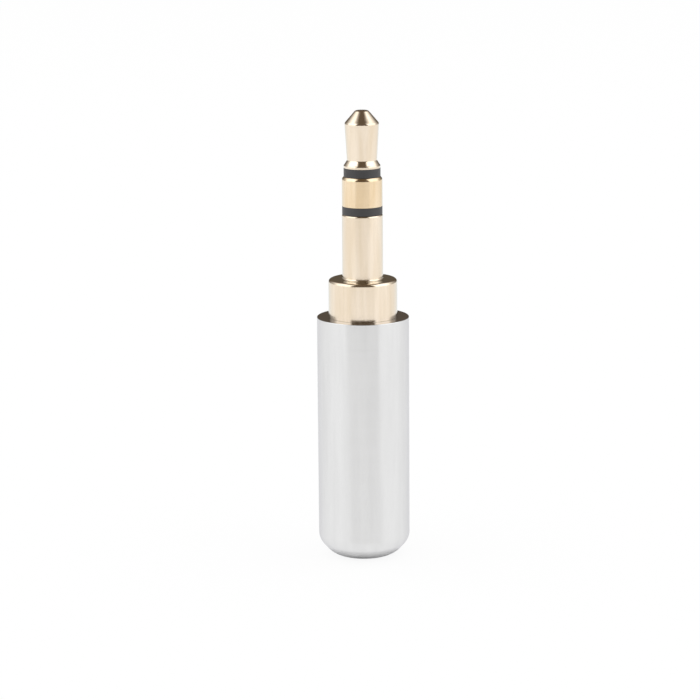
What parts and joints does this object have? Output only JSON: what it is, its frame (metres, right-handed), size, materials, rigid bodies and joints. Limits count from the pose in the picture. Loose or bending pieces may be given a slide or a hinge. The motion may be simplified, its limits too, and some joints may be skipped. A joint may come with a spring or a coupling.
{
  "type": "stereo jack plug",
  "caption": "Straight three-contact audio jack plug with a stepped gold contact pin, black insulating rings and a smooth screw-on metal shell with a rounded cable end.",
  "frame": {"origin": "centre of the shell's flat rear end, on which the plug stands", "axes": "+Z along the plug's axis from the rear end to the tip; +X is the side of the ring contact's solder lug"},
  "size_m": [0.0079, 0.008, 0.0388],
  "materials": {
    "aluminium": "satin, fine-turned",
    "gold": "pale gold plate on turned brass, fine-turned",
    "ring_gold": "gold plate on turned brass, slightly redder",
    "black_plastic": "moulded, satin",
    "tube_plastic": "thin insulating tube",
    "liner": "translucent milky sleeve",
    "lug_metal": "plated sheet brass"
  },
  "bodies": {
    "shell": {"shell": "aluminium"},
    "liner": {"liner_tube": "liner"},
    "insert": {"sleeve_body": "gold", "ring_spacer": "black_plastic", "outer_tube": "tube_plastic", "ring_contact": "ring_gold", "tip_spacer": "black_plastic", "inner_tube": "tube_plastic", "tip_contact": "gold", "sleeve_lug": "lug_metal", "sleeve_washer": "black_plastic", "ring_lug": "lug_metal", "ring_washer": "black_plastic", "tip_lug": "lug_metal"}
  },
  "joints": [
    {"name": "insert_turn", "type": "hinge", "parent": "shell", "child": "liner", "pos_m": [0, 0, 0], "axis": [0, 0, 1], "range_deg": [0, 2880]},
    {"name": "insert_lift", "type": "slide", "parent": "liner", "child": "insert", "axis": [0, 0, 1], "range_m": [0, 0.004]}
  ],
  "couplings": [
    {"joint": "insert_turn", "follows": "insert_lift", "rad_per_m": 12566}
  ]
}
